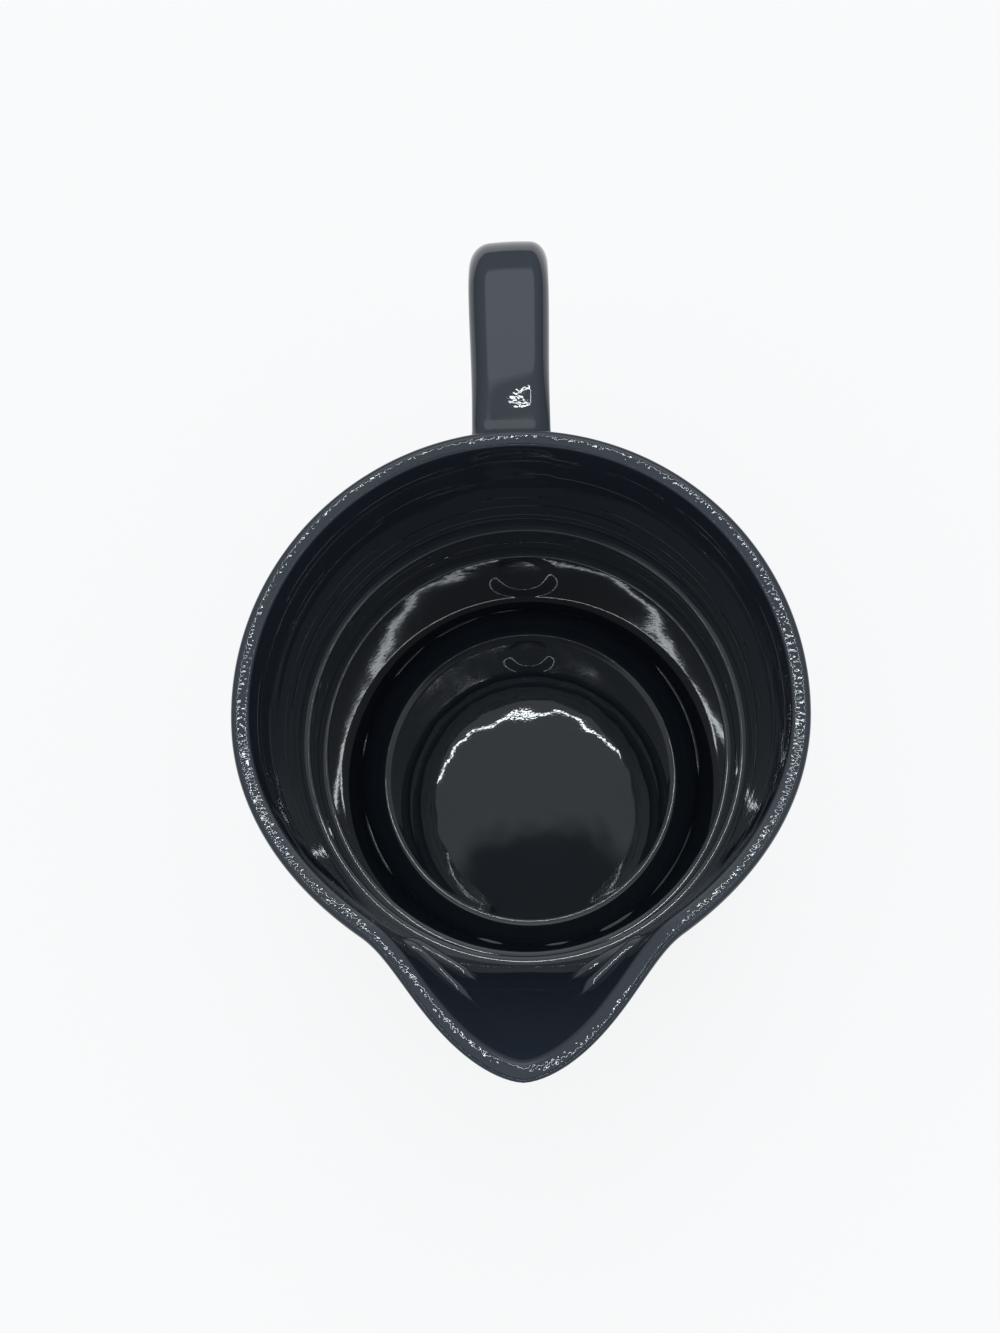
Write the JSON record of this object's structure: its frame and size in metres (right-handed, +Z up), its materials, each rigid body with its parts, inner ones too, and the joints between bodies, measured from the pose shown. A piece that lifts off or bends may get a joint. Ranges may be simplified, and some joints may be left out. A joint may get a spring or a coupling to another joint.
{
  "type": "pouring jug",
  "caption": "Straight-sided glazed ceramic jug with a rounded rim, a pulled V-shaped pouring spout and a squared strap handle; it stands on a bare foot ring.",
  "frame": {"origin": "on the axis of the round wall, in the plane of the foot ring that it stands on", "axes": "+Z up along the axis of the wall, +Y from the axis towards the handle, -Y towards the spout"},
  "size_m": [0.09, 0.148, 0.108],
  "materials": {
    "glaze": "glossy blue-black glaze",
    "bare_clay": "unglazed, wiped and ground flat"
  },
  "bodies": {
    "root": {"body": "glaze", "spout_collar": "glaze", "foot_ring": "bare_clay", "handle": "glaze", "upper_joint_bead": "glaze", "lower_joint_bead": "glaze"}
  },
  "joints": []
}
